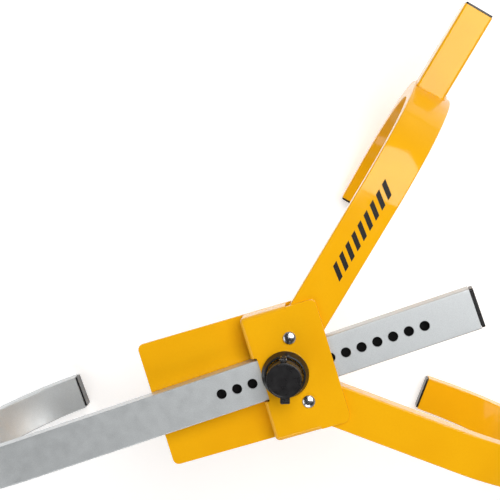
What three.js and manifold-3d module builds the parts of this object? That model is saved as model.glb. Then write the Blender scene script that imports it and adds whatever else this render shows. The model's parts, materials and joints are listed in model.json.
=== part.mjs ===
// Three-claw wheel clamp: a folded hub with two fixed yellow claw arms, a sliding perforated bar that
// carries the third claw, and a push-in pin lock. Millimetres, +Z is the side that faces away from the
// wheel, X runs along the sliding bar, and the origin is on the locking pin's axis at the rear of the
// back plate.
import * as THREE from "three";
import { mergeVertices } from "three/addons/utils/BufferGeometryUtils.js";
import Module from "manifold-3d";

const wasm = await Module();
wasm.setup();

// ---- Driving dimensions ----
const GAP = 0.4; // air between touching parts
const TUBE = { width: 41, depth: 20, wall: 2 }; // steel box section of the arms and the bar
const PLATE_THICKNESS = 4;
const COVER_THICKNESS = 3.2;
const HUB = { left: -133.5, right: 50.3, halfHeight: 63.2, corner: 6 };
const COVER = {
  left: -26.3, flangeEnd: 20.5, slotHalf: 22.3, slotIntoFace: 6, bottomCorner: 8, topCorner: 5.5,
};
const HUB_SKEW = THREE.MathUtils.degToRad(-2.6); // play lets the hub sit slightly turned on the bar
const ARM_ANGLE = THREE.MathUtils.degToRad(40); // each arm to the bar
// Play at the bolts turns both arms a little, moves them sideways, and lets their claws lean with depth
const ARM_PLAY = { turn: THREE.MathUtils.degToRad(0.2), sideways: -0.35 };
const BOLT = { u: 16, v: 32.6, radius: 3, head: 6.4, headHeight: 3.2, clearance: 0.4 };
const SPOT_FACE = { radius: 7.6, depth: 0.8 }; // seats of the washers in the rear of the back plate
const ARM_INSIDE_BOLT = 4.5; // the arm's centre line passes inside its bolt
const ROOT = { fromBar: 22.6, cropX: -15 }; // where the arm ends are cut beside the bar
const CLAW = { depth: 252, frontRadius: 115, backRadius: 125, returnWidth: 36.5 };
const ARM_REACH = 308; // lock axis to the outermost point of an arm, along the arm
// Where each return leg ends, and its sideways run for each unit of depth: lean, and twist for each unit
// of distance back from the bend
const UPPER_RETURN = { end: 157.5, lean: 0.016, twist: -6e-5 };
const LOWER_RETURN = { end: 162.6, lean: -0.0125, twist: -3e-5 };
const BAR_RETURN = { end: 252.5, lean: -0.0198, twist: -1.9e-4 };
const BAR_REACH = 394;
const BAR_END = 195;
const HOLES = { count: 14, pitch: 16, first: -64, radius: 4.9 };
const PLUG = { flange: 1.8, barFlange: 3.6, flangeInset: 0.7, stem: 14, stemGap: 0.4 };
// The extension tube is almost flush with one side of the claw, a little forward of the middle of the bend
const EXTENSION = { width: 31, depth: 50, wall: 2, tip: 397.4, sideways: 4.4, forward: 15 };
const LOCK_TURN = THREE.MathUtils.degToRad(-17); // the lock's own "up" against +Y
const LOCK_CENTRE = { x: 1.9, y: -0.7 }; // the pin stands a little off the barrel's centre
const PUSH_TRAVEL = 8;

// ---- Heights of the stack, from the rear of the back plate ----
const TUBE_Z = PLATE_THICKNESS + GAP;
const FRONT_Z = TUBE_Z + TUBE.depth; // front face of the bar and the arms
const COVER_Z = FRONT_Z + GAP;
const COVER_TOP = COVER_Z + COVER_THICKNESS;
const LOCK_BASE = COVER_TOP + GAP;

// ---- Materials ----
function paint(color, roughness, metalness) {
  return new THREE.MeshStandardMaterial({ color, roughness, metalness });
}
const YELLOW = paint(0xf0ac16, 0.35, 0.1);
const SILVER = paint(0xb9bec0, 0.45, 0.6);
const BLACK = paint(0x232123, 0.45, 0);
const ZINC = paint(0xd0d2d4, 0.25, 1);
const STEEL = paint(0x9a9c9f, 0.35, 1);
const BRASS = paint(0xb8963e, 0.35, 1);

// ---- Solids ----
function solid(geometry) {
  const bare = new THREE.BufferGeometry().setAttribute("position", geometry.getAttribute("position"));
  if (geometry.index) bare.setIndex(geometry.index);
  const merged = mergeVertices(bare, 1e-4);
  return new wasm.Manifold(
    new wasm.Mesh({
      numProp: 3,
      vertProperties: merged.attributes.position.array,
      triVerts: new Uint32Array(merged.index.array),
    }),
  );
}

function geometryOf(body) {
  const mesh = body.getMesh();
  return new THREE.BufferGeometry()
    .setAttribute("position", new THREE.BufferAttribute(mesh.vertProperties, 3))
    .setIndex(new THREE.BufferAttribute(mesh.triVerts, 1));
}

function boxGeometry(x0, x1, y0, y1, z0, z1) {
  const block = new THREE.BoxGeometry(x1 - x0, y1 - y0, z1 - z0);
  return block.translate((x0 + x1) / 2, (y0 + y1) / 2, (z0 + z1) / 2);
}
const box = (...limits) => solid(boxGeometry(...limits));

function rodGeometry(radius, z0, z1, x = 0, y = 0, sides = 32) {
  return new THREE.CylinderGeometry(radius, radius, z1 - z0, sides)
    .rotateX(Math.PI / 2)
    .translate(x, y, (z0 + z1) / 2);
}
const rod = (...size) => solid(rodGeometry(...size));

// A turned part about Z, from [radius, height] corners in order round its section.
function turned(corners, sides = 40) {
  const profile = [...corners, corners[0]].map(([radius, height]) => new THREE.Vector2(radius, height));
  return solid(new THREE.LatheGeometry(profile, sides).rotateX(Math.PI / 2));
}

function roundedSheet(x0, x1, y0, y1, radii, z0, z1) {
  const [bottomLeft, bottomRight, topRight, topLeft] = radii;
  const outline = new THREE.Shape();
  outline.moveTo(x0 + bottomLeft, y0);
  outline.lineTo(x1 - bottomRight, y0);
  outline.absarc(x1 - bottomRight, y0 + bottomRight, bottomRight, -Math.PI / 2, 0);
  outline.lineTo(x1, y1 - topRight);
  outline.absarc(x1 - topRight, y1 - topRight, topRight, 0, Math.PI / 2);
  outline.lineTo(x0 + topLeft, y1);
  outline.absarc(x0 + topLeft, y1 - topLeft, topLeft, Math.PI / 2, Math.PI);
  outline.lineTo(x0, y0 + bottomLeft);
  outline.absarc(x0 + bottomLeft, y0 + bottomLeft, bottomLeft, Math.PI, 1.5 * Math.PI);
  const sheet = new THREE.ExtrudeGeometry(outline, { depth: z1 - z0, bevelEnabled: false, curveSegments: 6 });
  return sheet.translate(0, 0, z0);
}

// ---- Claws: a straight front leg, a deep U bend and a short return leg, all of one box section ----
// The outline is drawn in the plane of the claw, along the arm and down from the front face.
function clawOutline(start, reach, returnEnd, inset, overrun) {
  const { depth, frontRadius, backRadius } = CLAW;
  const inner = TUBE.depth - inset;
  const outline = new THREE.Shape();
  outline.moveTo(start - overrun, -inset);
  outline.lineTo(reach - frontRadius, -inset);
  outline.absarc(reach - frontRadius, -frontRadius, frontRadius - inset, Math.PI / 2, 0, true);
  outline.absarc(reach - backRadius, backRadius - depth, backRadius - inset, 0, -Math.PI / 2, true);
  outline.lineTo(returnEnd - overrun, inset - depth);
  outline.lineTo(returnEnd - overrun, inner - depth);
  outline.absarc(reach - backRadius, backRadius - depth, backRadius - inner, -Math.PI / 2, 0);
  outline.absarc(reach - frontRadius, -frontRadius, frontRadius - inner, 0, Math.PI / 2);
  outline.lineTo(start - overrun, -inner);
  return outline;
}

// Behind the front leg the section leans sideways with depth, and it narrows a little towards the plug.
const BEHIND_FRONT_LEG = CLAW.depth - TUBE.depth;
function drawInWithDepth(geometry, reach, { end, lean, twist }) {
  const place = geometry.getAttribute("position");
  const narrowing = (1 - CLAW.returnWidth / TUBE.width) / (BEHIND_FRONT_LEG * (reach - end));
  for (let i = 0; i < place.count; i++) {
    const down = Math.min(Math.max(0, -place.getZ(i) - TUBE.depth), BEHIND_FRONT_LEG);
    const back = Math.min(Math.max(0, reach - place.getX(i)), reach - end);
    place.setY(i, place.getY(i) * (1 - narrowing * down * back) + (lean + twist * back) * down);
  }
  return geometry;
}

function clawTube(start, reach, back) {
  const sweep = (inset, overrun) => {
    const width = TUBE.width - 2 * inset;
    const outline = clawOutline(start, reach, back.end, inset, overrun);
    const slab = new THREE.ExtrudeGeometry(outline, { depth: width, bevelEnabled: false, curveSegments: 16 });
    return solid(drawInWithDepth(slab.translate(0, 0, -width / 2).rotateX(Math.PI / 2), reach, back));
  };
  return sweep(0, 0).subtract(sweep(TUBE.wall, 2));
}

// A plastic end plug along -X from x = 0: a flange just inside the section's outline, and a stem.
function plugGeometry(width, depth, wall, zTop, flange = PLUG.flange) {
  const block = (from, to, inset) => box(
    from, to, inset - width / 2, width / 2 - inset, zTop - depth + inset, zTop - inset,
  );
  return geometryOf(block(0, flange, PLUG.flangeInset).add(block(-PLUG.stem, 0.5, wall + PLUG.stemGap)));
}

// The plug of a claw's return leg, in the claw's own frame
function clawPlugGeometry(reach, { end, lean, twist }) {
  const sideways = (lean + twist * (reach - end)) * (BEHIND_FRONT_LEG - TUBE.depth / 2);
  const plug = plugGeometry(CLAW.returnWidth, TUBE.depth, TUBE.wall, TUBE.depth - CLAW.depth);
  return plug.rotateZ(Math.PI).translate(end - GAP, sideways, 0);
}

// ---- Assembly ----
const clamp = new THREE.Group();
function place(parent, name, geometry, material) {
  const mesh = new THREE.Mesh(geometry, material);
  mesh.name = name;
  parent.add(mesh);
  return mesh;
}

const hub = new THREE.Group();
hub.rotation.z = HUB_SKEW;
clamp.add(hub);

const boltsInHub = { upper: BOLT.v, lower: -BOLT.v };
function drillBolts(body) {
  return Object.values(boltsInHub).reduce(
    (rest, v) => rest.subtract(rod(BOLT.radius + BOLT.clearance, -50, 50, BOLT.u, v, 20)),
    body,
  );
}

function makeBackPlate() {
  const { left, right, halfHeight, corner } = HUB;
  const corners = [corner, corner, corner, corner];
  const sheet = roundedSheet(left, right - 2, -halfHeight, halfHeight, corners, 0, PLATE_THICKNESS);
  const seats = Object.values(boltsInHub).map((v) => rod(SPOT_FACE.radius, -1, SPOT_FACE.depth, BOLT.u, v));
  const body = seats.reduce((rest, seat) => rest.subtract(seat), drillBolts(solid(sheet)));
  place(hub, "back_plate", geometryOf(body), YELLOW);
}

function makeCover() {
  const { right, halfHeight } = HUB;
  const { left, flangeEnd, slotHalf, slotIntoFace, bottomCorner, topCorner } = COVER;
  const foldedEdge = 2;
  const radii = [foldedEdge, bottomCorner, topCorner, foldedEdge];
  let body = solid(roundedSheet(left, right, -halfHeight, halfHeight, radii, COVER_Z, COVER_TOP));
  body = body.add(box(left, left + COVER_THICKNESS, -halfHeight, halfHeight, TUBE_Z, COVER_TOP - foldedEdge));
  for (const side of [-1, 1]) {
    const faces = [side * halfHeight, side * (halfHeight - COVER_THICKNESS)].sort((a, b) => a - b);
    body = body.add(box(left, flangeEnd, ...faces, TUBE_Z, COVER_TOP - foldedEdge));
  }
  const slot = box(left - 5, left + slotIntoFace, -slotHalf, slotHalf, -1, COVER_TOP + 5);
  body = drillBolts(body.subtract(slot)).subtract(rod(PIN.radius + 0.8, 0, 60));
  place(hub, "cover", geometryOf(body), YELLOW);
}

function makeFastenings(side, v) {
  const station = new THREE.Group();
  station.position.set(BOLT.u, v, 0);
  hub.add(station);
  const washerTop = SPOT_FACE.depth - 0.3;
  const washerBottom = washerTop - 1.6;
  const nutTop = washerBottom - 0.3;
  const nutBottom = nutTop - 5;
  const headBase = COVER_TOP + 0.3;
  const { radius, head, headHeight, clearance } = BOLT;
  const dome = [0, 0.35, 0.65, 0.88, 1].map((t) => [
    head * Math.cos((t * Math.PI) / 2), headBase + 0.6 + (headHeight - 0.6) * Math.sin((t * Math.PI) / 2),
  ]);
  const end = nutBottom - 2;
  const bolt = turned([[0, end], [radius, end], [radius, headBase], [head, headBase], ...dome], 28);
  place(station, `carriage_bolt_${side}`, geometryOf(bolt), ZINC);
  const washer = rod(6.2, washerBottom, washerTop, 0, 0, 24).subtract(rod(radius + 0.3, -20, 20, 0, 0, 20));
  place(station, `washer_${side}`, geometryOf(washer), ZINC);
  const nut = rod(5.77, nutBottom, nutTop, 0, 0, 6).subtract(rod(radius + 0.3, -20, 20, 0, 0, 20));
  place(station, `nut_${side}`, geometryOf(nut), ZINC);
  const inside = [TUBE_Z + TUBE.wall + 0.3, FRONT_Z - TUBE.wall - 0.3];
  const sleeve = rod(radius + 2, ...inside, 0, 0, 24).subtract(rod(radius + clearance, -50, 50, 0, 0, 20));
  place(station, `spacer_${side}`, geometryOf(sleeve), STEEL);
}

function boltPlace(v) {
  return new THREE.Vector2(BOLT.u, v).rotateAround(new THREE.Vector2(), HUB_SKEW);
}

// side is 1 for the upper arm and -1 for the lower one, which mirrors it across the bar
function makeArm(name, side, v, back) {
  const bolt = boltPlace(v);
  const angle = side * ARM_ANGLE + ARM_PLAY.turn;
  const throughBolt = Math.cos(angle) * bolt.y - Math.sin(angle) * bolt.x;
  const sideways = throughBolt - side * ARM_INSIDE_BOLT + ARM_PLAY.sideways;
  const toPlace = new THREE.Matrix4()
    .makeRotationZ(angle)
    .multiply(new THREE.Matrix4().makeTranslation(0, sideways, FRONT_Z));
  const tube = geometryOf(clawTube(-60, ARM_REACH, back)).applyMatrix4(toPlace);
  const limits = [side * ROOT.fromBar, side * -300].sort((a, b) => a - b);
  const body = solid(tube)
    .subtract(box(-300, 300, ...limits, TUBE_Z - 1, FRONT_Z + 1))
    .subtract(box(-300, ROOT.cropX, -300, 300, TUBE_Z - 1, FRONT_Z + 1))
    .subtract(rod(BOLT.radius + BOLT.clearance, -50, 50, bolt.x, bolt.y, 20));
  place(clamp, name, geometryOf(body), YELLOW);
  const plug = clawPlugGeometry(ARM_REACH, back).applyMatrix4(toPlace);
  place(clamp, name.replace("arm", "claw_plug"), plug, BLACK);
  return toPlace;
}

function makeExtension(toPlace) {
  const { width, depth, wall, tip, sideways, forward } = EXTENSION;
  const middle = forward - CLAW.depth / 2;
  const root = ARM_REACH - TUBE.depth / 2;
  const [low, high] = [middle - depth / 2, middle + depth / 2];
  const outline = clawOutline(0, ARM_REACH, UPPER_RETURN.end, -GAP, 0);
  const slab = new THREE.ExtrudeGeometry(outline, { depth: 70, bevelEnabled: false, curveSegments: 16 });
  const bend = solid(slab.translate(0, 0, -35).rotateX(Math.PI / 2));
  const outer = box(root, tip, sideways - width / 2, sideways + width / 2, low, high);
  const inner = box(
    root - 5, tip + 5, sideways - width / 2 + wall, sideways + width / 2 - wall, low + wall, high - wall,
  );
  const tube = outer.subtract(inner).subtract(bend);
  place(clamp, "extension_tube", geometryOf(tube).applyMatrix4(toPlace), YELLOW);
  const plug = plugGeometry(width, depth, wall, high).translate(tip + GAP, sideways, 0);
  place(clamp, "extension_plug", plug.applyMatrix4(toPlace), BLACK);
}

function makeBar() {
  const toPlace = new THREE.Matrix4()
    .makeTranslation(0, 0, FRONT_Z)
    .multiply(new THREE.Matrix4().makeRotationZ(Math.PI));
  const tube = clawTube(-BAR_END, BAR_REACH, BAR_RETURN);
  let body = solid(geometryOf(tube).applyMatrix4(toPlace));
  for (let i = 0; i < HOLES.count; i++) {
    const x = HOLES.first + i * HOLES.pitch;
    body = body.subtract(rod(HOLES.radius, FRONT_Z - TUBE.wall - 1, FRONT_Z + 1, x, 0, 24));
  }
  place(clamp, "slide_bar", geometryOf(body), SILVER);
  const endPlug = plugGeometry(TUBE.width, TUBE.depth, TUBE.wall, FRONT_Z, PLUG.barFlange);
  place(clamp, "bar_end_plug", endPlug.translate(BAR_END + GAP, 0, 0), BLACK);
  place(clamp, "bar_claw_plug", clawPlugGeometry(BAR_REACH, BAR_RETURN).applyMatrix4(toPlace), BLACK);
}

// ---- Lock ----
const lock = new THREE.Group();
lock.rotation.z = LOCK_TURN;
lock.position.set(LOCK_CENTRE.x, LOCK_CENTRE.y, 0);
clamp.add(lock);

const SHELL = { radius: 17.2, bore: 14.4, bottom: LOCK_BASE + PUSH_TRAVEL + 0.4, top: 55.5 };
const CYLINDER = { radius: 12.3, bottom: LOCK_BASE + PUSH_TRAVEL + 0.8, shoulder: 52.6, boss: 9, top: 55.2 };
const POCKET = { inner: 8.2, outer: 11.3, top: 48 }; // annular pocket that holds the spring
const PIN = { radius: 4.5, bottom: FRONT_Z + 0.4, top: 39.6 };
const KEY_PLUG = { radius: 6, bottom: 40.2, head: 7.2, headBottom: 53.2, top: 55.6 };
const HINGE = { out: 20.3, z: 56.4, knuckle: 2.4, pin: 0.7, tongue: 1.2, ear: 3 };
const CAP = { bottom: 56, top: 58.2, radius: 17.2 };

function makeLock() {
  const collar = turned([
    [18, LOCK_BASE], [23, LOCK_BASE], [23, LOCK_BASE + 2.6], [20, 38], [18, 38],
  ]);
  place(lock, "lock_collar", geometryOf(collar), BLACK);
  const sleeve = turned([[12.7, LOCK_BASE], [14, LOCK_BASE], [14, 44.4], [12.7, 44.4]]);
  place(lock, "guide_sleeve", geometryOf(sleeve), STEEL);

  const { radius, bore, bottom, top } = SHELL;
  let shell = turned([
    [radius, bottom], [radius, top], [9.4, top], [9.4, 53], [bore, 53], [bore, bottom],
  ]);
  for (const side of [-1, 1]) {
    const [inner, outer] = [side * (HINGE.tongue + 0.3), side * HINGE.ear].sort((a, b) => a - b);
    const ear = acrossRod(HINGE.knuckle, inner, outer);
    const web = box(inner, outer, 16, HINGE.out + HINGE.knuckle, HINGE.z - 7, HINGE.z - 1);
    shell = shell.add(ear).add(web.subtract(capSweep()));
  }
  shell = shell.subtract(acrossRod(HINGE.pin + 0.3, -9, 9, 16));
  place(lock, "lock_barrel", geometryOf(shell), BLACK);

  const cylinder = turned([
    [CYLINDER.boss, CYLINDER.top], [7.5, CYLINDER.top], [7.5, 53], [KEY_PLUG.radius + 0.3, 53],
    [KEY_PLUG.radius + 0.3, 40], [0, 40], [0, CYLINDER.bottom],
    [POCKET.inner, CYLINDER.bottom], [POCKET.inner, POCKET.top], [POCKET.outer, POCKET.top],
    [POCKET.outer, CYLINDER.bottom], [CYLINDER.radius, CYLINDER.bottom],
    [CYLINDER.radius, CYLINDER.shoulder], [CYLINDER.boss, CYLINDER.shoulder],
  ]);
  const centre = new THREE.Vector2();
  const pinAt = new THREE.Vector2(-LOCK_CENTRE.x, -LOCK_CENTRE.y).rotateAround(centre, -LOCK_TURN);
  const pinBore = rod(PIN.radius + 0.3, 30, 41, pinAt.x, pinAt.y);
  place(lock, "lock_cylinder", geometryOf(cylinder.subtract(pinBore)), ZINC);

  const { headBottom, head } = KEY_PLUG;
  const keyPlug = turned([
    [0, KEY_PLUG.bottom], [KEY_PLUG.radius, KEY_PLUG.bottom], [KEY_PLUG.radius, headBottom],
    [head, headBottom], [head, KEY_PLUG.top], [0, KEY_PLUG.top],
  ], 32).subtract(box(-1.1, 1.1, -4.6, 3.4, 44, 60));
  place(lock, "key_plug", geometryOf(keyPlug), BRASS);

  const pin = turned([
    [0, PIN.bottom], [PIN.radius - 1, PIN.bottom], [PIN.radius, PIN.bottom + 1],
    [PIN.radius, PIN.top], [0, PIN.top],
  ], 32);
  place(lock, "locking_pin", geometryOf(pin).translate(pinAt.x, pinAt.y, 0), STEEL);
  makeSpring();
  makeDustCap();
}

// A rod across the lock, on the dust cap's hinge line
function acrossRod(radius, from, to, sides = 20) {
  const rodAlongX = new THREE.CylinderGeometry(radius, radius, to - from, sides).rotateZ(Math.PI / 2);
  return solid(rodAlongX.translate((from + to) / 2, HINGE.out, HINGE.z));
}

function capSweep() {
  return acrossRod(HINGE.knuckle + 0.4, -HINGE.tongue - 0.3, HINGE.tongue + 0.3);
}

class Helix extends THREE.Curve {
  constructor(radius, z0, z1, turns) {
    super();
    Object.assign(this, { radius, z0, z1, turns });
  }
  getPoint(t, target = new THREE.Vector3()) {
    const angle = 2 * Math.PI * this.turns * t;
    const height = this.z0 + (this.z1 - this.z0) * t;
    return target.set(this.radius * Math.cos(angle), this.radius * Math.sin(angle), height);
  }
}

function makeSpring() {
  const wire = 0.75;
  const section = new THREE.Shape().absarc(0, 0, wire, 0, 2 * Math.PI);
  const middle = (POCKET.inner + POCKET.outer) / 2;
  const path = new Helix(middle, LOCK_BASE + wire + 0.1, POCKET.top - wire - 0.4, 5.5);
  const coil = new THREE.ExtrudeGeometry(section, { steps: 88, extrudePath: path, curveSegments: 6 });
  place(lock, "lock_spring", coil, STEEL);
}

function makeDustCap() {
  const { bottom, top, radius } = CAP;
  const disc = turned([[0, bottom], [radius - 0.5, bottom], [radius, bottom + 0.5], [radius, top - 1],
    [radius - 1, top], [0, top]], 48);
  const tongue = box(-HINGE.tongue, HINGE.tongue, radius - 2, HINGE.out, bottom, top);
  let tab = box(-4.6, 4.6, -22.6, -radius + 2, bottom, top);
  for (const y of [-18.6, -20.2, -21.8]) {
    tab = tab.add(box(-4.2, 4.2, y - 0.45, y + 0.45, top - 0.5, top + 0.7));
  }
  const knuckle = acrossRod(HINGE.knuckle, -HINGE.tongue, HINGE.tongue);
  const cap = disc.add(tongue).add(tab).add(knuckle).subtract(acrossRod(HINGE.pin + 0.3, -9, 9, 16));
  place(lock, "dust_cap", geometryOf(cap), BLACK);
  place(lock, "dust_cap_pin", geometryOf(acrossRod(HINGE.pin, -HINGE.ear - 0.4, HINGE.ear + 0.4, 16)), STEEL);
}

makeBackPlate();
makeCover();
Object.entries(boltsInHub).forEach(([side, v]) => makeFastenings(side, v));
const upperPlace = makeArm("upper_arm", 1, BOLT.v, UPPER_RETURN);
makeExtension(upperPlace);
makeArm("lower_arm", -1, -BOLT.v, LOWER_RETURN);
makeBar();
makeLock();

export default clamp;
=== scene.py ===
"""A claw wheel clamp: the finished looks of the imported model. Sizes are in millimetres until a mesh is
made."""
import json
import math

import bmesh
import bpy
from mathutils import Matrix, Vector


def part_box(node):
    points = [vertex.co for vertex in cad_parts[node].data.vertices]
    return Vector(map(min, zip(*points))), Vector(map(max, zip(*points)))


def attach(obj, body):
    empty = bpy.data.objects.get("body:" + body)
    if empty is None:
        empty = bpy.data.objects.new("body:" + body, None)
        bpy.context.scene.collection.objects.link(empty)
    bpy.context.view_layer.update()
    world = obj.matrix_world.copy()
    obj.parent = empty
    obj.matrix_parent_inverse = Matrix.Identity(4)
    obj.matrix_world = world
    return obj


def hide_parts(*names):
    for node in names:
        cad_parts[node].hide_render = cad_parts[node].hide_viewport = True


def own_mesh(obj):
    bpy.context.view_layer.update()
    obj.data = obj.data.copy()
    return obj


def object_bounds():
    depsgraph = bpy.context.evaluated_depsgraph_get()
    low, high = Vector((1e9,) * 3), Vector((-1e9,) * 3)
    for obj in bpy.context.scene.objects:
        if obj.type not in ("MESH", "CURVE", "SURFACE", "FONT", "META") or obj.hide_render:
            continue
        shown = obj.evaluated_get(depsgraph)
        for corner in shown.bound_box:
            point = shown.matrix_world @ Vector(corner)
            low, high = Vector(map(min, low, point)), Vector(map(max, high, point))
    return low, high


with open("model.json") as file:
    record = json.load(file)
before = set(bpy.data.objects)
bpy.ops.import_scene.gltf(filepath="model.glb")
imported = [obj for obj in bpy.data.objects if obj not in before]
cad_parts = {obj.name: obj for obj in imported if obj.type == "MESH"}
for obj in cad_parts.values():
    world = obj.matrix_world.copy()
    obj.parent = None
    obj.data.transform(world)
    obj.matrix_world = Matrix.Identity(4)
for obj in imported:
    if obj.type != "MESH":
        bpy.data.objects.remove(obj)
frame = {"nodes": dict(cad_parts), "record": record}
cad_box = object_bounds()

MM = 0.001

# ---- Driving dimensions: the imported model's, and the edges and rims that only the looks need ----
TUBE = {"width": 41, "depth": 20, "wall": 2, "corner": 1.3}
CLAW = {"depth": 252, "front_radius": 115, "back_radius": 125, "return_width": 36.5}
ARM = {"angle": 40, "reach": 308, "start": -60, "inside_bolt": 4.5, "from_bar": 22.6, "crop_x": -15}
ARM_PLAY = {"turn": 0.2, "sideways": -0.35}
RETURNS = {
    "upper": {"end": 157.5, "lean": 0.016, "twist": -6e-5},
    "lower": {"end": 162.6, "lean": -0.0125, "twist": -3e-5},
    "bar": {"end": 252.5, "lean": -0.0198, "twist": -1.9e-4},
}
BAR = {"end": 195, "reach": 394}
HOLES = {"count": 14, "pitch": 16, "first": -64, "radius": 4.9}
HUB = {"skew": -2.6, "left": -133.5, "right": 50.3, "half_height": 63.2, "corner": 6}
COVER = {"left": -26.3, "thickness": 3.2, "flange_end": 20.5, "slot_half": 22.3, "slot_depth": 6,
         "bottom_corner": 8, "top_corner": 5.5}
EXTENSION = {"width": 31, "depth": 50, "wall": 2, "corner": 2.6, "tip": 397.4, "sideways": 4.4,
             "forward": 15}
PLUG = {"flange": 1.8, "bar_flange": 3.6, "corner": 2.4, "inset": 0.7, "stem": 14}
BOLT = {"radius": 3, "head": 6.4, "washer": 6.2, "nut": 5.77, "clearance": 0.4, "seat": 7.6,
        "seat_depth": 0.8}
LOCK = {"radius": 17.2, "barrel_top": 55.5, "cap_low": 56, "cap_top": 58.2, "knuckle": 2.4,
        "pin_bore": 1.0}
GAP = 0.4


def heights(node):
    """The lowest and highest point of a CAD node, in millimetres."""
    low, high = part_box(node)
    return low.z / MM, high.z / MM


def middle(node):
    """The centre of a CAD node's box, in millimetres."""
    low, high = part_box(node)
    return (low + high) / 2 / MM


FRONT_Z = heights("slide_bar")[1]
TUBE_Z = FRONT_Z - TUBE["depth"]
PLATE_TOP = heights("back_plate")[1]
COVER_TOP = heights("cover")[1]
FLOOR_Z = cad_box[0][2] / MM
JOINTS = {joint["name"]: joint for joint in frame["record"]["behaviour"]["joints"]}
LOCK_CENTRE = Vector(JOINTS["key_turn"]["pos_m"]).xy / MM
HINGE = Vector(JOINTS["dust_cap_hinge"]["pos_m"]) / MM
HINGE_OUT = (HINGE.xy - LOCK_CENTRE).length
TURN_HUB = Matrix.Rotation(math.radians(HUB["skew"]), 4, "Z")
LOCK_TURN = math.atan2(HINGE.y - LOCK_CENTRE.y, HINGE.x - LOCK_CENTRE.x) - math.pi / 2
TURN_LOCK = Matrix.Translation((*LOCK_CENTRE, 0)) @ Matrix.Rotation(LOCK_TURN, 4, "Z")


# ---- Mesh code ----
def make_object(name, points, faces, place=Matrix.Identity(4)):
    """A mesh object from points in millimetres, its faces turned to point out."""
    mesh = bpy.data.meshes.new(name)
    mesh.from_pydata([place @ Vector(point) * MM for point in points], [], faces)
    build = bmesh.new()
    build.from_mesh(mesh)
    bmesh.ops.recalc_face_normals(build, faces=build.faces)
    build.to_mesh(mesh)
    build.free()
    thing = bpy.data.objects.new(name, mesh)
    bpy.context.scene.collection.objects.link(thing)
    return thing


def skin(name, loops, wrap=False, place=Matrix.Identity(4)):
    """A closed surface through loops of equally many points: capped at both ends, or wrapped round."""
    count = len(loops[0])
    points = [point for loop in loops for point in loop]
    faces = []
    for k in range(len(loops) - (0 if wrap else 1)):
        here, after = k * count, (k + 1) % len(loops) * count
        for i in range(count):
            beside = (i + 1) % count
            faces.append((here + i, here + beside, after + beside, after + i))
    if not wrap:
        faces += [tuple(range(count)), tuple(len(points) - count + i for i in range(count))]
    return make_object(name, points, faces, place)


def rounded(corners, steps=5):
    """The outline through corners (x, y, radius), with an arc of that radius at each corner."""
    outline = []
    for i, (x, y, radius) in enumerate(corners):
        here = Vector((x, y))
        if not radius:
            outline.append(here)
            continue
        back = (Vector(corners[i - 1][:2]) - here).normalized()
        ahead = (Vector(corners[(i + 1) % len(corners)][:2]) - here).normalized()
        half = back.angle(ahead) / 2
        centre = here + (back + ahead).normalized() * radius / math.sin(half)
        start = here + back * radius / math.tan(half) - centre
        turn = (math.pi - 2 * half) * (1 if back.x * ahead.y - back.y * ahead.x < 0 else -1)
        outline += [centre + Matrix.Rotation(turn * k / steps, 2) @ start for k in range(steps + 1)]
    return outline


def inset(corners, amount):
    """The corners (x, y, radius) of an anticlockwise outline, moved inwards by amount."""
    moved = []
    for i, (x, y, radius) in enumerate(corners):
        here = Vector((x, y))
        before = (here - Vector(corners[i - 1][:2])).normalized()
        after = (Vector(corners[(i + 1) % len(corners)][:2]) - here).normalized()
        inward = Vector((-before.y, before.x)) + Vector((-after.y, after.x))
        here += inward * amount / (1 + before.dot(after))
        turns_left = before.x * after.y - before.y * after.x > 0
        moved.append((here.x, here.y, max(radius - amount if turns_left else radius + amount, 0.05)))
    return moved


def rectangle(x0, x1, y0, y1, radius):
    """The corners of an upright rectangle, anticlockwise."""
    return [(x0, y0, radius), (x1, y0, radius), (x1, y1, radius), (x0, y1, radius)]


def slab(name, corners, z0, z1, edge, place=Matrix.Identity(4), steps=5):
    """A plate of that outline from z0 to z1, with its upper and lower edges rounded."""
    turns = [math.radians(angle) for angle in (0, 22.5, 45, 67.5, 90)]
    levels = [(edge * (1 - math.sin(t)), z0 + edge * (1 - math.cos(t))) for t in turns]
    levels += [(edge * (1 - math.cos(t)), z1 - edge * (1 - math.sin(t))) for t in turns]
    loops = []
    for amount, z in levels:
        loops.append([(p.x, p.y, z) for p in rounded(inset(corners, amount), steps)])
    return skin(name, loops, place=place)


def turned(name, corners, place=Matrix.Identity(4), sides=96):
    """A turned part about Z, from the corners (radius, height, rounding) of its section. A section whose
    first and last corners lie on the axis is solid there."""
    on_axis = corners[0][0] == 0
    profile = rounded(corners, 4)
    if on_axis:
        profile = [p for p in profile if p.x > 0]
    spokes = [(math.cos(2 * math.pi * i / sides), math.sin(2 * math.pi * i / sides)) for i in range(sides)]
    loops = [[(p.x * c, p.x * s, p.y) for c, s in spokes] for p in profile]
    return skin(name, loops, wrap=not on_axis, place=place)


def combine(thing, tool, operation="DIFFERENCE"):
    """Cuts tool from thing, joins it on, or keeps what they share, and removes tool."""
    step = thing.modifiers.new("combine", "BOOLEAN")
    step.object = tool
    step.operation = operation
    step.solver = "EXACT"
    bpy.context.view_layer.update()
    made = bpy.data.meshes.new_from_object(thing.evaluated_get(bpy.context.evaluated_depsgraph_get()))
    thing.modifiers.clear()
    thing.data = made
    bpy.data.objects.remove(tool)


def join_flats(thing):
    """Takes out the edges between faces that lie in one plane."""
    build = bmesh.new()
    build.from_mesh(thing.data)
    bmesh.ops.remove_doubles(build, verts=build.verts, dist=0.02 * MM)
    bmesh.ops.dissolve_limit(build, angle_limit=math.radians(0.3), verts=build.verts, edges=build.edges)
    build.to_mesh(thing.data)
    build.free()


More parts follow.
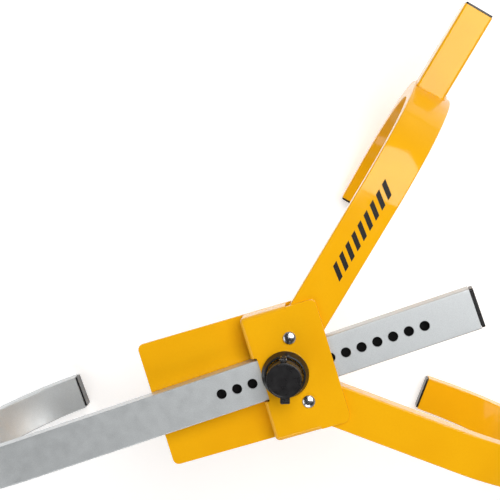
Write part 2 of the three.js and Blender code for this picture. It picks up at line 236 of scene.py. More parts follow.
def block(x0, x1, y0, y1, z0, z1, place=Matrix.Identity(4)):
    """A plain box to cut with."""
    loops = [[(x, y, z) for x, y in ((x0, y0), (x1, y0), (x1, y1), (x0, y1))] for z in (z0, z1)]
    return skin("cutter", loops, place=place)


def drill(thing, x, y, radius, z0=-50, z1=90):
    """Cuts a round hole along Z."""
    section = [(0, z0, 0), (radius, z0, 0), (radius, z1, 0), (0, z1, 0)]
    combine(thing, turned("cutter", section, Matrix.Translation((x, y, 0)), 48))


def finish_piece(thing, body, slot, nodes=(), sharp=32, material=None):
    """Smooth shading with sharp folds, the slot's material, and the piece's body and CAD nodes."""
    mesh = thing.data
    mesh.materials.clear()
    mesh.materials.append(material or MATERIALS[slot])
    mesh.polygons.foreach_set("use_smooth", [True] * len(mesh.polygons))
    mesh.set_sharp_from_angle(angle=math.radians(sharp))
    weighted = thing.modifiers.new("weighted", "WEIGHTED_NORMAL")
    weighted.keep_sharp = True
    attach(thing, body)
    if nodes:
        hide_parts(*nodes)


# ---- Materials ----
class Nodes:
    """A short way to wire a material: each call adds a node and returns it."""

    def __init__(self, name):
        self.material = bpy.data.materials.new(name)
        self.material.use_nodes = True
        self.tree = self.material.node_tree
        self.surface = self.tree.nodes["Principled BSDF"]
        self.place = self.add("ShaderNodeTexCoord").outputs["Object"]

    def add(self, kind, **values):
        node = self.tree.nodes.new(kind)
        for key, value in values.items():
            if key in node.inputs:
                self.put(value, node.inputs[key])
            else:
                setattr(node, key, value)
        return node

    def put(self, value, socket):
        if isinstance(value, bpy.types.NodeSocket):
            self.tree.links.new(value, socket)
        else:
            socket.default_value = value

    def noise(self, size, detail):
        """Noise whose blotches are about size millimetres across."""
        noise = self.add("ShaderNodeTexNoise", Vector=self.place, Scale=1 / (size * MM), Detail=detail)
        return noise.outputs["Fac"]

    def cells(self, size):
        """A random grey for each cell about size millimetres across."""
        cells = self.add("ShaderNodeTexVoronoi", Vector=self.place, Scale=1 / (size * MM))
        grey = self.add("ShaderNodeRGBToBW", Color=cells.outputs["Color"])
        return grey.outputs[0]

    def remap(self, value, low, high, to_low, to_high):
        node = self.add("ShaderNodeMapRange", Value=value)
        for key, number in (("From Min", low), ("From Max", high), ("To Min", to_low), ("To Max", to_high)):
            node.inputs[key].default_value = number
        return node.outputs[0]

    def mix(self, factor, first, second):
        """A colour between first and second."""
        node = self.add("ShaderNodeMix", data_type="RGBA")
        colours = [socket for socket in node.inputs if socket.type == "RGBA"]
        self.put(factor, node.inputs[0])
        for value, socket in zip((first, second), colours):
            self.put(value if isinstance(value, bpy.types.NodeSocket) else (*value, 1), socket)
        return [socket for socket in node.outputs if socket.type == "RGBA"][0]

    def bump(self, height, distance, strength):
        """Relief of that many millimetres."""
        node = self.add("ShaderNodeBump", Height=height, Distance=distance * MM, Strength=strength)
        return node.outputs[0]

    def set(self, **values):
        for key, value in values.items():
            socket = self.surface.inputs[key.replace("_", " ")]
            if isinstance(value, tuple) and len(value) == 3:
                value = (*value, 1)
            self.put(value, socket)
        return self.material


def yellow_paint():
    """Glossy powder coat: slow shifts of shade and a faint orange peel under a clear gloss."""
    n = Nodes("yellow_powder_coat")
    shade = n.remap(n.noise(60, 2), 0.35, 0.65, 0, 1)
    base = n.mix(shade, (0.93, 0.432, 0.004), (0.97, 0.47, 0.005))
    mottled = n.mix(n.remap(n.noise(2.2, 3), 0.3, 0.7, 0, 0.3), base, (0.90, 0.405, 0.004))
    peel = n.bump(n.noise(2.2, 2), 0.012, 0.4)
    waves = n.bump(n.noise(26, 2), 0.05, 0.35)
    return n.set(
        Base_Color=mottled, Roughness=n.remap(n.noise(14, 4), 0.3, 0.7, 0.42, 0.54), Normal=peel,
        Specular_IOR_Level=0.5, Specular_Tint=(1, 0.75, 0.02), Coat_Weight=0.85,
        Coat_Roughness=n.remap(n.noise(9, 3), 0.3, 0.7, 0.07, 0.12),
        Coat_IOR=1.45, Coat_Normal=waves,
    )


def silver_paint():
    """Satin metallic coat: fine bright flakes in a grey base."""
    n = Nodes("silver_metallic_coat")
    flakes = n.remap(n.cells(0.3), 0.15, 0.85, 0, 1)
    base = n.mix(flakes, (0.57, 0.592, 0.60), (0.68, 0.705, 0.712))
    slow = n.mix(n.remap(n.noise(90, 1), 0.35, 0.65, 0, 0.12), base, (0.55, 0.57, 0.58))
    grain = n.bump(n.noise(0.7, 2), 0.006, 0.5)
    rough = n.remap(n.noise(9, 4), 0.3, 0.7, 0.42, 0.50)
    return n.set(
        Base_Color=slow, Metallic=0.65, Roughness=rough, Normal=grain, Coat_Weight=0.2, Coat_Roughness=0.2,
    )


def dark_inside_painted_shade():
    """The unpainted inside of a tube: dark mill scale, kept near black as painted shade so the holes look
    dark instead of showing the lit wall behind them.
    """
    n = Nodes("mill_scale_painted_shade")
    shade = n.mix(n.noise(3, 5), (0.010, 0.010, 0.011), (0.022, 0.020, 0.020))
    rough = n.remap(n.noise(2, 3), 0.3, 0.7, 0.55, 0.75)
    return n.set(Base_Color=shade, Roughness=rough, Specular_IOR_Level=0.2)


def black_plastic():
    """Satin moulded plastic with a fine spark-eroded grain."""
    n = Nodes("black_moulded_plastic")
    shade = n.mix(n.noise(12, 4), (0.006, 0.0055, 0.006), (0.011, 0.010, 0.011))
    scuffed = n.mix(n.remap(n.noise(1.4, 5), 0.62, 0.74, 0, 0.35), shade, (0.024, 0.022, 0.024))
    grain = n.bump(n.noise(0.35, 2), 0.012, 0.5)
    return n.set(Base_Color=scuffed, Roughness=n.remap(n.noise(5, 4), 0.3, 0.7, 0.24, 0.36), Normal=grain)


def metal(name, dark, bright, roughness):
    """Bare or plated metal with a fine grain."""
    n = Nodes(name)
    shade = n.mix(n.remap(n.noise(4, 5), 0.3, 0.7, 0, 1), dark, bright)
    relief = n.bump(n.noise(0.5, 3), 0.004, 0.5)
    rough = n.remap(n.noise(1.6, 4), 0.3, 0.7, roughness * 0.8, roughness * 1.3)
    return n.set(Base_Color=shade, Metallic=1.0, Roughness=rough, Normal=relief)


def marking_paint():
    """Flat black print that has lost a little of its cover."""
    n = Nodes("marking_print")
    thin = n.remap(n.noise(0.8, 4), 0.62, 0.72, 0, 0.4)
    print_colour = n.mix(thin, (0.008, 0.007, 0.006), (0.30, 0.13, 0.01))
    return n.set(Base_Color=print_colour, Roughness=0.4, Specular_IOR_Level=0.3)


def floor_paint():
    """A white floor with a painted glow round the clamp: an emission that fades out away from the middle,
    washing out the shadows there and lighting the clamp from below.
    """
    n = Nodes("studio_floor")
    shade = n.mix(n.noise(300, 2), (0.90, 0.90, 0.90), (0.92, 0.92, 0.92))
    from_middle = n.add("ShaderNodeVectorMath", operation="LENGTH")
    n.put(n.place, from_middle.inputs[0])
    # painted light: the floor's emission is strongest round the clamp and fades to none farther out
    painted_glow = n.remap(from_middle.outputs["Value"], 0.5, 0.95, 0.38, 0)
    return n.set(
        Base_Color=shade, Roughness=0.9, Specular_IOR_Level=0.1,
        Emission_Color=(1, 1, 1), Emission_Strength=painted_glow,
    )


MATERIALS = {
    "yellow_paint": yellow_paint(),
    "silver_paint": silver_paint(),
    "black_plastic": black_plastic(),
    "zinc_plate": metal("bright_zinc_plate", (0.62, 0.63, 0.65), (0.80, 0.81, 0.82), 0.2),
    "bare_steel": metal("oiled_steel", (0.42, 0.42, 0.43), (0.58, 0.58, 0.59), 0.32),
    "brass": metal("turned_brass", (0.62, 0.43, 0.16), (0.78, 0.58, 0.26), 0.26),
}


# ---- Claws ----
def refined(outline, longest):
    """The outline with its long stretches divided."""
    points = []
    for i, here in enumerate(outline):
        after = outline[(i + 1) % len(outline)]
        parts = max(1, math.ceil((after - here).length / longest))
        points += [here.lerp(after, k / parts) for k in range(parts)]
    return points


def smooth(t):
    t = min(max(t, 0), 1)
    return t * t * (3 - 2 * t)


def claw_stations(start, reach, return_end):
    """The run of a claw's outer face in its own plane, from the front leg round to the return leg. Each
    station is a point (along the arm, height from the front face), the direction into the tube, and how
    bent the tube is there."""
    depth, front, back = CLAW["depth"], CLAW["front_radius"], CLAW["back_radius"]
    steps = 44
    stations = [(Vector((start, 0)), Vector((0, -1)), 0)]
    for centre, radius, first in (
        (Vector((reach - front, -front)), front, 90),
        (Vector((reach - back, back - depth)), back, 0),
    ):
        for k in range(steps + 1):
            angle = math.radians(first - 90 * k / steps)
            out = Vector((math.cos(angle), math.sin(angle)))
            along = k / steps if first else 1 - k / steps
            stations.append((centre + out * radius, -out, smooth(along * 5)))
    stations.append((Vector((return_end, -depth)), Vector((0, 1)), 0))
    return stations


def lean_at(back, leg):
    """The sideways run for each unit of depth, that far back from the outermost point of the bend."""
    return leg["lean"] + leg["twist"] * back


def claw_loops(stations, reach, leg, outline):
    """The section outline (across, into the tube) carried along the stations. In the bend the inner wall
    buckles into the tube and the edges of the outer one draw in. Behind the front leg the section leans
    sideways with depth, and it narrows towards the plug."""
    behind = CLAW["depth"] - TUBE["depth"]
    narrowing = (1 - CLAW["return_width"] / TUBE["width"]) / (behind * (reach - leg["end"]))
    drawn_in, buckled = 1.1, 1.5
    loops = []
    for point, inward, bend in stations:
        loop = []
        for across, into in outline:
            aside = min(1, (2 * across / TUBE["width"]) ** 2)
            share = into / TUBE["depth"]
            shift = bend * (drawn_in * aside * (1 - share) ** 2 - buckled * (1 - aside) * share ** 3)
            along, height = point + inward * (into + shift)
            down = min(max(0, -height - TUBE["depth"]), behind)
            back = min(max(0, reach - along), reach - leg["end"])
            sideways = across * (1 - narrowing * down * back) + lean_at(back, leg) * down
            loop.append((along, sideways, height))
        loops.append(loop)
    return loops


def claw_tube(name, start, reach, leg, place):
    """A hollow box section bent into a claw, open at both ends."""
    outer = rectangle(-TUBE["width"] / 2, TUBE["width"] / 2, 0, TUBE["depth"], TUBE["corner"])
    stations = claw_stations(start, reach, leg["end"])
    longest = 5.1
    runs = []
    for corners in (outer, inset(outer, TUBE["wall"])):
        runs.append(claw_loops(stations, reach, leg, refined(rounded(corners), longest)))
    outside, inside = runs
    if len(inside[0]) != len(outside[0]):
        raise ValueError("the outer and inner sections need equally many points")
    return skin(name, outside + inside[::-1], wrap=True, place=place)


def plug(name, node, width, depth, place, body, thick=PLUG["flange"]):
    """A plastic end plug centred on the tube: a flange with soft edges from x = 0, and a ribbed stem behind
    it, along -X."""
    wall, stem = TUBE["wall"], PLUG["stem"]
    levels = [(thick, 1.5), (thick - 0.1, 1.0), (thick - 0.35, 0.75), (thick - 0.6, PLUG["inset"])]
    levels += [(0.2, PLUG["inset"]), (0, 0.9), (0, wall + 1)]
    for rib in (-2.5, -5.5, -8.5, -11.5):
        levels += [(rib + 0.9, wall + 1), (rib + 0.5, wall + GAP)]
        levels += [(rib - 0.5, wall + GAP), (rib - 0.9, wall + 1)]
    levels.append((-stem, wall + 1.2))
    corners = rectangle(-width / 2, width / 2, -depth / 2, depth / 2, PLUG["corner"])
    loops = [[(x, p.x, p.y) for p in rounded(inset(corners, amount))] for x, amount in levels]
    finish_piece(skin(name, loops, place=place), body, "black_plastic", [node])


def arm_place(side):
    """Where an arm's own frame lies: X along the arm, its front face at height 0."""
    bolt = middle("carriage_bolt_upper" if side > 0 else "carriage_bolt_lower")
    angle = math.radians(side * ARM["angle"] + ARM_PLAY["turn"])
    through_bolt = math.cos(angle) * bolt.y - math.sin(angle) * bolt.x
    sideways = through_bolt - side * ARM["inside_bolt"] + ARM_PLAY["sideways"]
    return Matrix.Rotation(angle, 4, "Z") @ Matrix.Translation((0, sideways, FRONT_Z))


def claw_plug(name, node, reach, leg, place, body):
    """The plug of a claw's return leg."""
    sideways = lean_at(reach - leg["end"], leg) * (CLAW["depth"] - 1.5 * TUBE["depth"])
    at = Matrix.Translation((leg["end"] - GAP, sideways, TUBE["depth"] / 2 - CLAW["depth"]))
    facing = place @ at @ Matrix.Rotation(math.pi, 4, "Z")
    plug(name, node, CLAW["return_width"], TUBE["depth"], facing, body)


def make_arm(label, side):
    """An arm with its claw and plug. Its root is cut along the bar and behind the bolt."""
    place = arm_place(side)
    tube = claw_tube(label + "_arm_tube", ARM["start"], ARM["reach"], RETURNS[label], place)
    past = 300
    y0, y1 = sorted((side * ARM["from_bar"], side * -past))
    combine(tube, block(-past, past, y0, y1, TUBE_Z - 1, FRONT_Z + 1))
    combine(tube, block(-past, ARM["crop_x"], -past, past, TUBE_Z - 1, FRONT_Z + 1))
    bolt = middle("carriage_bolt_" + label)
    drill(tube, bolt.x, bolt.y, BOLT["radius"] + BOLT["clearance"])
    finish_piece(tube, "hub", "yellow_paint", [label + "_arm"])
    claw_plug(label + "_claw_cap", label + "_claw_plug", ARM["reach"], RETURNS[label], place, "hub")
    return place


def make_bar():
    """The sliding bar with its claw, plugs and pin holes. The inside seen through them is near-black mill
    scale: partly its own colour, partly painted shade.
    """
    place = Matrix.Translation((0, 0, FRONT_Z)) @ Matrix.Rotation(math.pi, 4, "Z")
    tube = claw_tube("bar_tube", -BAR["end"], BAR["reach"], RETURNS["bar"], place)
    radius, wall, burr = HOLES["radius"], TUBE["wall"], 0.25
    for k in range(HOLES["count"]):
        at = Matrix.Translation((HOLES["first"] + k * HOLES["pitch"], 0, FRONT_Z))
        section = [(0, -wall - 1, 0), (radius, -wall - 1, 0), (radius, -burr, 0), (radius + burr, 0, 0),
                   (radius + burr + 0.5, 0.5, 0), (0, 0.5, 0)]
        combine(tube, turned("cutter", section, at, 56))
    finish_piece(tube, "bar", "silver_paint", ["slide_bar"])
    # painted shade: the inside faces get a near-black finish so that the pin holes look dark
    tube.data.materials.append(dark_inside_painted_shade())
    for face in tube.data.polygons:
        centre = face.center / MM
        deep = FRONT_Z - TUBE["depth"] + 0.5 < centre.z < FRONT_Z - 0.9 * wall
        straight = centre.x > CLAW["front_radius"] - BAR["reach"]
        if deep and straight and abs(centre.y) < TUBE["width"] / 2 - 0.5 * wall:
            face.material_index = 1
    end = Matrix.Translation((BAR["end"] + GAP, 0, FRONT_Z - TUBE["depth"] / 2))
    plug("bar_end_cap", "bar_end_plug", TUBE["width"], TUBE["depth"], end, "bar", PLUG["bar_flange"])
    claw_plug("bar_claw_cap", "bar_claw_plug", BAR["reach"], RETURNS["bar"], place, "bar")


# ---- Extension tube on the upper claw ----
def bend_face(height):
    """How far along the arm the outer face of the bend lies at a height under the front face."""
    front, back, reach = CLAW["front_radius"], CLAW["back_radius"], ARM["reach"]
    above = max(0, height + front)
    below = max(0, back - CLAW["depth"] - height)
    radius, off = (front, above) if above else (back, below)
    return reach - radius + math.sqrt(radius ** 2 - off ** 2)


def make_extension(place):
    width, depth, wall = EXTENSION["width"], EXTENSION["depth"], EXTENSION["wall"]
    centre = Vector((EXTENSION["sideways"], EXTENSION["forward"] - CLAW["depth"] / 2))
    outer = rectangle(-width / 2, width / 2, -depth / 2, depth / 2, EXTENSION["corner"])
    sections = [[centre + p for p in rounded(corners)] for corners in (outer, inset(outer, wall))]
    foot = 0.3
    runs = []
    for section in sections:
        root = [(bend_face(p.y) - foot, p.x, p.y) for p in section]
        runs.append([root, [(EXTENSION["tip"], p.x, p.y) for p in section]])
    box = skin("extension_box", runs[0] + runs[1][::-1], wrap=True, place=place)
    finish_piece(box, "hub", "yellow_paint", ["extension_tube"])
    at = place @ Matrix.Translation((EXTENSION["tip"] + GAP, centre.x, centre.y))
    plug("extension_cap", "extension_plug", width, depth, at, "hub")
    longest = 1.1
    make_weld(refined(sections[0], longest), place)


def make_weld(path, place):
    """A lumpy bead round the extension tube's foot, dressed almost flush along the front and left edges."""
    front, left = max(point.y for point in path), max(point.x for point in path)
    dressed, full, fade, sunk = 0.45, 1.7, 7, 0.4
    loops = []
    for i, here in enumerate(path):
        along = (path[(i + 1) % len(path)] - path[i - 1]).normalized()
        out = Vector((along.y, -along.x))
        ripple = math.sin(i * 2.1) + 0.6 * math.sin(i * 0.37 + 1) + 0.4 * math.sin(i * 0.93 + 2)
        size = dressed + (full + 0.2 * ripple) * smooth(min(front - here.y, left - here.x) / fade)
        section = [(-sunk, -sunk), (size, -sunk)]
        section += [(size * math.cos(a), size * math.sin(a)) for a in (0.2, 0.55, 0.9, 1.25, 1.5)]
        section.append((-sunk, size))
        loop = []
        for away, up in section:
            spot = here + out * away
            loop.append((bend_face(spot.y) + up, spot.x, spot.y))
        loops.append(loop)
    bead = skin("extension_weld", loops, wrap=True, place=place)
    finish_piece(bead, "hub", "yellow_paint", sharp=70)


# ---- Hub ----
def soft_box(name, low, high, radius, place):
    """A box whose left, lower and upper walls meet its top face and each other in bends of that radius."""
    (x0, y0, z0), (x1, y1, z1) = low, high
    near = 1e-6
    build = bmesh.new()
    bmesh.ops.create_cube(build, size=1)
    for vert in build.verts:
        vert.co = Vector((
            x1 if vert.co.x > 0 else x0, y1 if vert.co.y > 0 else y0, z1 if vert.co.z > 0 else z0,
        ))
    bends = []
    for edge in build.edges:
        centre = (edge.verts[0].co + edge.verts[1].co) / 2
        on_top = abs(centre.z - z1) < near and centre.x < x1 - near
        on_left = abs(centre.x - x0) < near and abs(centre.y) > 1 and z0 + near < centre.z < z1 - near
        if on_top or on_left:
            bends.append(edge)
    bmesh.ops.bevel(build, geom=bends, offset=radius, segments=7, profile=0.5, affect="EDGES")
    build.verts.ensure_lookup_table()
    points = [tuple(vert.co) for vert in build.verts]
    faces = [tuple(vert.index for vert in face.verts) for face in build.faces]
    build.free()
    return make_object(name, points, faces, place)


def make_cover():
    """The folded cover: a bent sheet, and a flat one with rounded corners joined to its right edge."""
    half, right, thick = HUB["half_height"], HUB["right"], COVER["thickness"]
    left, flange_end = COVER["left"], COVER["flange_end"]
    beyond, bend = flange_end + 20, 5
    cover = soft_box("cover_sheet", (left, -half, TUBE_Z), (beyond, half, COVER_TOP), bend, TURN_HUB)
    inner = soft_box(
        "cutter", (left + thick, thick - half, TUBE_Z - 5), (beyond + 5, half - thick, COVER_TOP - thick),
        bend - thick, TURN_HUB,
    )
    combine(cover, inner)
    combine(cover, block(flange_end, beyond + 9, -half - 5, half + 5, TUBE_Z - 5, COVER_TOP + 5, TURN_HUB))
    edge = 0.55
    corners = [(flange_end - 5, -half + edge, 0.7), (right, -half + edge, COVER["bottom_corner"]),
               (right, half - edge, COVER["top_corner"]), (flange_end - 5, half - edge, 0.7)]
    face = slab("face", corners, COVER_TOP - thick, COVER_TOP, edge, TURN_HUB, 8)
    lap = 0.04
    beside = block(flange_end - 9, flange_end - lap, -half - 5, half + 5, TUBE_Z, COVER_TOP + 5, TURN_HUB)
    combine(face, beside)
    combine(cover, face, "UNION")
    slot = [(left - 5, -COVER["slot_half"], 0), (left + COVER["slot_depth"], -COVER["slot_half"], 1.5),
            (left + COVER["slot_depth"], COVER["slot_half"], 1.5), (left - 5, COVER["slot_half"], 0)]
    loops = [[(p.x, p.y, z) for p in rounded(slot)] for z in (TUBE_Z - 9, COVER_TOP + 9)]
    combine(cover, skin("cutter", loops, place=TURN_HUB))
    drill_for_bolts(cover)
    pin_hole = 5.3
    drill(cover, 0, 0, pin_hole)
    join_flats(cover)
    finish_piece(cover, "hub", "yellow_paint", ["cover"])


def drill_for_bolts(thing):
    for label in ("upper", "lower"):
        bolt = middle("carriage_bolt_" + label)
        drill(thing, bolt.x, bolt.y, BOLT["radius"] + BOLT["clearance"])


def make_back_plate():
    """The sheet behind the bar, with round seats for the washers in its rear."""
    half = HUB["half_height"]
    corners = rectangle(HUB["left"], HUB["right"] - 2, -half, half, HUB["corner"])
    plate = slab("back_plate_sheet", corners, 0, PLATE_TOP, 0.6, TURN_HUB, 8)
    drill_for_bolts(plate)
    for label in ("upper", "lower"):
        bolt = middle("carriage_bolt_" + label)
        drill(plate, bolt.x, bolt.y, BOLT["seat"], -9, BOLT["seat_depth"])
    finish_piece(plate, "hub", "yellow_paint", ["back_plate"])


def make_fastening(label):
    """A domed coach bolt with its thread, washer and nut."""
    centre = middle("carriage_bolt_" + label)
    at = Matrix.Translation((centre.x, centre.y, 0))
    radius, head = BOLT["radius"], BOLT["head"]
    end, top = heights("carriage_bolt_" + label)
    base, rim, dome_steps = COVER_TOP + 0.3, 0.55, 13
    threads, pitch = 11, 1.0
    corners = [(0, end, 0), (radius - 0.7, end, 0), (radius, end + 0.7, 0)]
    for k in range(threads):
        z = end + 0.9 + k * pitch
        corners += [(radius, z, 0), (radius - 0.5, z + 0.42, 0), (radius, z + 0.84, 0)]
    corners += [(radius, base, 0.2), (head - 0.25, base, 0), (head, base + 0.2, 0), (head, base + rim, 0)]
    for k in range(1, dome_steps):
        angle = math.pi / 2 * k / dome_steps
        corners.append((head * math.cos(angle), base + rim + (top - base - rim) * math.sin(angle), 0))
    corners.append((0, top, 0))
    bolt = turned("bolt_" + label, corners, at, 64)
    finish_piece(bolt, "hub", "zinc_plate", ["carriage_bolt_" + label], sharp=50)

    low, high = heights("washer_" + label)
    hole, outer = radius + 0.3, BOLT["washer"]
    ring = [(hole, low, 0.15), (outer, low, 0.4), (outer, high, 0.4), (hole, high, 0.15)]
    finish_piece(turned("washer_ring_" + label, ring, at), "hub", "zinc_plate", ["washer_" + label])

    low, high = heights("nut_" + label)
    across = BOLT["nut"]
    turns = [math.pi * k / 3 for k in range(6)]
    hexagon = rounded([(across * math.cos(turn), across * math.sin(turn), 0.2) for turn in turns], 3)
    nut = skin("nut_hex_" + label, [[(p.x, p.y, z) for p in hexagon] for z in (low, high)], place=at)
    flat = across * math.cos(math.pi / 6)
    chamfer = [(0, low, 0), (flat - 0.1, low, 0), (across + 0.1, low + 0.55, 0),
               (across + 0.1, high - 0.55, 0), (flat - 0.1, high, 0), (0, high, 0)]
    combine(nut, turned("cutter", chamfer, at), "INTERSECT")
    bore = [(0, low - 1, 0), (hole + 1.5, low - 1, 0), (hole, low + 0.6, 0), (hole, high - 0.6, 0),
            (hole + 1.5, high + 1, 0), (0, high + 1, 0)]
    combine(nut, turned("cutter", bore, at))
    finish_piece(nut, "hub", "zinc_plate", ["nut_" + label])


def make_marking(place):
    """A printed row of slanted bars, a plain hazard marking, on the front of the upper arm."""
    first, count, pitch, bar_width, half, slant = 110, 9, 11.4, 6.2, 6.5, 5
    below, lift, film = 2.5, 0.01, 0.06
    points, faces = [], []
    for k in range(count):
        s = first + k * pitch
        low, high = s - slant, s + slant
        outline = [(low, -half), (low + bar_width, -half), (high + bar_width, half), (high, half)]
        start = len(points)
        points += [(x, y - below, z) for z in (lift, film) for x, y in outline]
        faces += [(start, start + 1, start + 2, start + 3), (start + 4, start + 5, start + 6, start + 7)]
        for i in range(4):
            beside = (i + 1) % 4
            faces.append((start + i, start + beside, start + 4 + beside, start + 4 + i))
    marking = make_object("arm_marking", points, faces, place)
    finish_piece(marking, "hub", "black_plastic", material=marking_paint())


# ---- Lock ----
def across(name, radius, half, edge):
    """A rod with rounded ends across the lock, on the dust cap's hinge line."""
    at = TURN_LOCK @ Matrix.Translation((0, HINGE_OUT, HINGE.z)) @ Matrix.Rotation(math.pi / 2, 4, "Y")
    corners = [(0, -half, 0), (radius, -half, edge), (radius, half, edge), (0, half, 0)]
    return turned(name, corners, at, 40)


def upright(name, corners, x0, x1, edge):
    """A plate of that outline in the lock's YZ plane, from x0 to x1."""
    to_lock = TURN_LOCK @ Matrix(((0, 0, 1, 0), (1, 0, 0, 0), (0, 1, 0, 0), (0, 0, 0, 1)))
    return slab(name, corners, x0, x1, edge, to_lock, 8)


def make_lock_body():
    """The collar and sleeve on the hub, and the barrel, cylinder, pin and key plug that are pushed in."""
    base, top = heights("lock_collar")
    collar = [(18, base, 0.3), (23, base, 0.3), (23, base + 2.6, 1.0), (20, top, 1.0), (18, top, 0.4)]
    ring = turned("collar_ring", collar, TURN_LOCK)
    finish_piece(ring, "hub", "black_plastic", ["lock_collar"], sharp=50)
    low, high = heights("guide_sleeve")
    sleeve = [(12.7, low, 0.2), (14, low, 0.2), (14, high, 0.4), (12.7, high, 0.4)]
    finish_piece(turned("sleeve_tube", sleeve, TURN_LOCK), "hub", "bare_steel", ["guide_sleeve"])

    low, high = heights("lock_barrel")[0], LOCK["barrel_top"]
    radius, knuckle = LOCK["radius"], LOCK["knuckle"]
    shell = [(14.4, low, 0.2), (radius, low, 0.4), (radius, high, 0.9), (9.4, high, 0.3), (9.4, 53, 0),
             (14.4, 53, 0.4)]
    barrel = turned("barrel_shell", shell, TURN_LOCK)
    outer = HINGE_OUT + knuckle
    ear = [(15.6, HINGE.z - 7, 0), (outer - 2, HINGE.z - 7, 1.2), (outer, HINGE.z - 5, 1.5),
           (outer, HINGE.z + knuckle, 2.35), (HINGE_OUT - knuckle, HINGE.z + knuckle, 2.35),
           (HINGE_OUT - knuckle, HINGE.z - 1, 0.3), (15.6, HINGE.z - 1, 0)]
    for side in (-1, 1):
        x0, x1 = sorted((side * 1.5, side * 3))
        combine(barrel, upright("ear", ear, x0, x1, 0.35), "UNION")
    combine(barrel, across("cutter", LOCK["pin_bore"], 9, 0))
    finish_piece(barrel, "lock", "black_plastic", ["lock_barrel"])

    low, high = heights("lock_cylinder")
    core = [(0, low, 0), (8.2, low, 0.2), (8.2, 48, 0.3), (11.3, 48, 0.3), (11.3, low, 0.2),
            (12.3, low, 0.2), (12.3, 52.6, 0.3), (9, 52.6, 0), (9, high, 0.4), (7.5, high, 0.2),
            (7.5, 53, 0), (6.3, 53, 0), (6.3, 40, 0), (0, 40, 0)]
    cylinder = turned("cylinder_core", core, TURN_LOCK)
    drill(cylinder, 0, 0, 4.8, 30, 41)
    finish_piece(cylinder, "lock", "zinc_plate", ["lock_cylinder"])
    low, high = heights("locking_pin")
    pin = [(0, low, 0), (3.6, low, 0.3), (4.5, low + 1, 0.3), (4.5, high, 0.2), (0, high, 0)]
    finish_piece(turned("pin_rod", pin), "lock", "bare_steel", ["locking_pin"])
    low, high = heights("key_plug")
    rotor = [(0, low, 0), (6, low, 0.3), (6, 53.2, 0), (7.2, 53.2, 0.2), (7.2, high, 0.5), (0, high, 0)]
    keyed = turned("key_rotor", rotor, TURN_LOCK)
    keyway = [(-1.1, -4.6, 0.5), (1.1, -4.6, 0.5), (1.1, 0, 0.2), (0.5, 1.2, 0.2), (1.1, 2.2, 0.2),
              (1.1, 3.4, 0.5), (-1.1, 3.4, 0.5), (-1.1, -1.2, 0.2), (-0.5, -2.2, 0.2), (-1.1, -3.2, 0.2)]
    loops = [[(p.x, p.y, z) for p in rounded(keyway, 3)] for z in (44, 60)]
    combine(keyed, skin("cutter", loops, place=TURN_LOCK))
    finish_piece(keyed, "key", "brass", ["key_plug"])


def make_spring():
    """A compression spring of round wire, wound at an even pitch."""
    low, high = heights("lock_spring")
    wire, mean, turns, steps, sides = 0.75, 9.75, 5.5, 260, 12
    start, rise = low + wire, high - low - 2 * wire
    run = mean * 2 * math.pi * turns
    loops = []
    for k in range(steps + 1):
        t = k / steps
        turn = 2 * math.pi * turns * t
        height = start + rise * t
        out = Vector((math.cos(turn), math.sin(turn), 0))
        slope = Vector((-math.sin(turn) * run, math.cos(turn) * run, rise))
        side = slope.normalized().cross(out)
        centre = out * mean + Vector((0, 0, height))
        ring = [2 * math.pi * i / sides for i in range(sides)]
        loops.append([centre + wire * (out * math.cos(a) + side * math.sin(a)) for a in ring])
    spring = skin("spring_coil", loops, place=TURN_LOCK)
    finish_piece(spring, "hub", "bare_steel", ["lock_spring"], sharp=60)
    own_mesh(spring)


def make_dust_cap():
    """The lock's cap with its ridged thumb tab, its hinge knuckle and the hinge pin."""
    low, top = LOCK["cap_low"], LOCK["cap_top"]
    radius, knuckle = LOCK["radius"], LOCK["knuckle"]
    disc = [(0, low + 0.35, 0), (13.6, low + 0.35, 0.2), (13.9, low, 0.2), (radius, low, 0.4),
            (radius, top, 0.8), (radius - 1.5, top, 0.3), (radius - 1.8, top - 0.18, 0.2),
            (0, top - 0.18, 0)]
    cap = turned("cap_disc", disc, TURN_LOCK, 128)
    tab = [(-4.6, -22.6, 1.1), (4.6, -22.6, 1.1), (4.6, -radius + 2, 0.2), (-4.6, -radius + 2, 0.2)]
    combine(cap, slab("tab", tab, low, top - 0.1, 0.35, TURN_LOCK), "UNION")
    for y in (-18.6, -20.2, -21.8):
        outline = rectangle(-4.0, 4.0, y - 0.42, y + 0.42, 0.38)
        ridge = slab("ridge", outline, top - 0.9, top + 0.62, 0.3, TURN_LOCK)
        combine(cap, ridge, "UNION")
    tongue = [(radius - 2, low, 0.1), (HINGE_OUT, low, 0.1), (HINGE_OUT, top, 0.1),
              (radius - 2, top - 0.25, 0.1)]
    combine(cap, upright("tongue", tongue, -1.15, 1.15, 0.08), "UNION")
    combine(cap, across("knuckle", knuckle, 1.2, 0.2), "UNION")
    combine(cap, across("cutter", LOCK["pin_bore"], 9, 0))
    finish_piece(cap, "cap", "black_plastic", ["dust_cap"])
    finish_piece(across("cap_hinge_pin", 0.7, 3.4, 0.25), "lock", "bare_steel", ["dust_cap_pin"])


# ---- Studio ----
def make_studio():
    """A white floor, the room and three softboxes. These sizes are in metres."""
    mesh = bpy.data.meshes.new("studio_floor")
    wide = 12
    level = FLOOR_Z * MM
    corners = ((-wide, -wide), (wide, -wide), (wide, wide), (-wide, wide))
    mesh.from_pydata([(x, y, level) for x, y in corners], [], [(0, 1, 2, 3)])
    mesh.materials.append(floor_paint())
    floor = bpy.data.objects.new("studio_floor", mesh)
    bpy.context.scene.collection.objects.link(floor)

    make_world()
    bpy.context.scene.view_settings.view_transform = "Standard"
    add_softbox("key", (1.038, 0.771, 1.9), (1.038, 0.771, 0), (1.7, 2.09), 54, -19.6)
    add_softbox("lower", (-0.9, -1.6, 1.3), (0, 0, 0), (1.4, 1.0), 13)
    add_softbox("left", (-1.9, 0.1, 1.1), (0, 0, 0), (1.2, 1.0), 5)


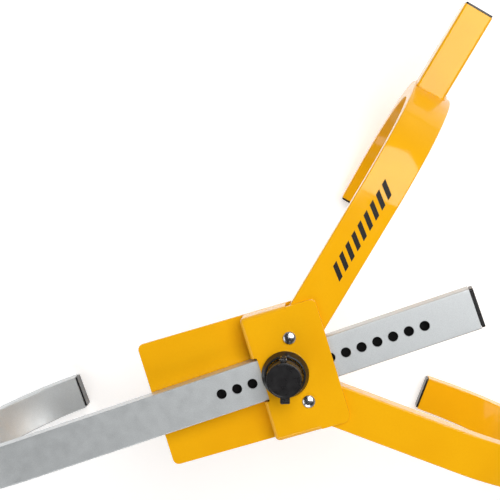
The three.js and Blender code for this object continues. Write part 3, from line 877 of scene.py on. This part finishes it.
def make_world():
    """A plain room: pale walls and a dark ceiling."""
    world = bpy.data.worlds.new("studio")
    world.use_nodes = True
    tree = world.node_tree
    direction = tree.nodes.new("ShaderNodeTexCoord")
    parts = tree.nodes.new("ShaderNodeSeparateXYZ")
    tree.links.new(direction.outputs["Generated"], parts.inputs[0])
    level = tree.nodes.new("ShaderNodeMapRange")
    for key, number in (("From Min", 0.0), ("From Max", 0.7), ("To Min", 0.5), ("To Max", 0.03)):
        level.inputs[key].default_value = number
    tree.links.new(parts.outputs["Z"], level.inputs["Value"])
    background = tree.nodes["Background"]
    background.inputs["Color"].default_value = (1, 1, 1, 1)
    tree.links.new(level.outputs[0], background.inputs["Strength"])
    bpy.context.scene.world = world


def add_softbox(name, place, aim, size, power, roll=0.0):
    """A rectangular light, its second side along the slope towards the aim."""
    lamp = bpy.data.lights.new(name, "AREA")
    lamp.shape = "RECTANGLE"
    lamp.size, lamp.size_y = size
    lamp.energy = power
    light = bpy.data.objects.new(name, lamp)
    towards = Vector(aim) - Vector(place)
    turn = towards.to_track_quat("-Z", "Y").to_matrix().to_4x4()
    light.matrix_world = Matrix.Translation(place) @ turn @ Matrix.Rotation(math.radians(roll), 4, "Z")
    bpy.context.scene.collection.objects.link(light)


def make_camera():
    """Almost straight above the clamp's front, turned so that the bar rises to the right."""
    place, aim = Vector((0.1609, 0.2706, 1.4633)), Vector((0.0098, 0.1245, 0.0244))
    turn, sensor, field = math.radians(19.62), 36, 18.776
    back = (place - aim).normalized()
    up = Vector((math.sin(turn), math.cos(turn), 0))
    right = up.cross(back).normalized()
    up = back.cross(right)
    lens = bpy.data.cameras.new("camera")
    lens.sensor_width = sensor
    lens.lens = sensor / 2 / math.tan(math.radians(field) / 2)
    camera = bpy.data.objects.new("camera", lens)
    camera.matrix_world = Matrix.Translation(place) @ Matrix((right, up, back)).transposed().to_4x4()
    bpy.context.scene.collection.objects.link(camera)
    bpy.context.scene.camera = camera


def dress_frame():
    """The CAD nodes that stay: their own finish."""
    for entry in frame["record"]["subparts"]:
        node = frame["nodes"][entry["node"]]
        if not node.hide_render:
            node.data.materials.clear()
            node.data.materials.append(MATERIALS[entry["material_slot"]])


make_camera()
make_studio()
make_back_plate()
make_cover()
upper = make_arm("upper", 1)
make_arm("lower", -1)
make_extension(upper)
make_marking(upper)
make_bar()
for label in ("upper", "lower"):
    make_fastening(label)
make_lock_body()
make_spring()
make_dust_cap()
dress_frame()
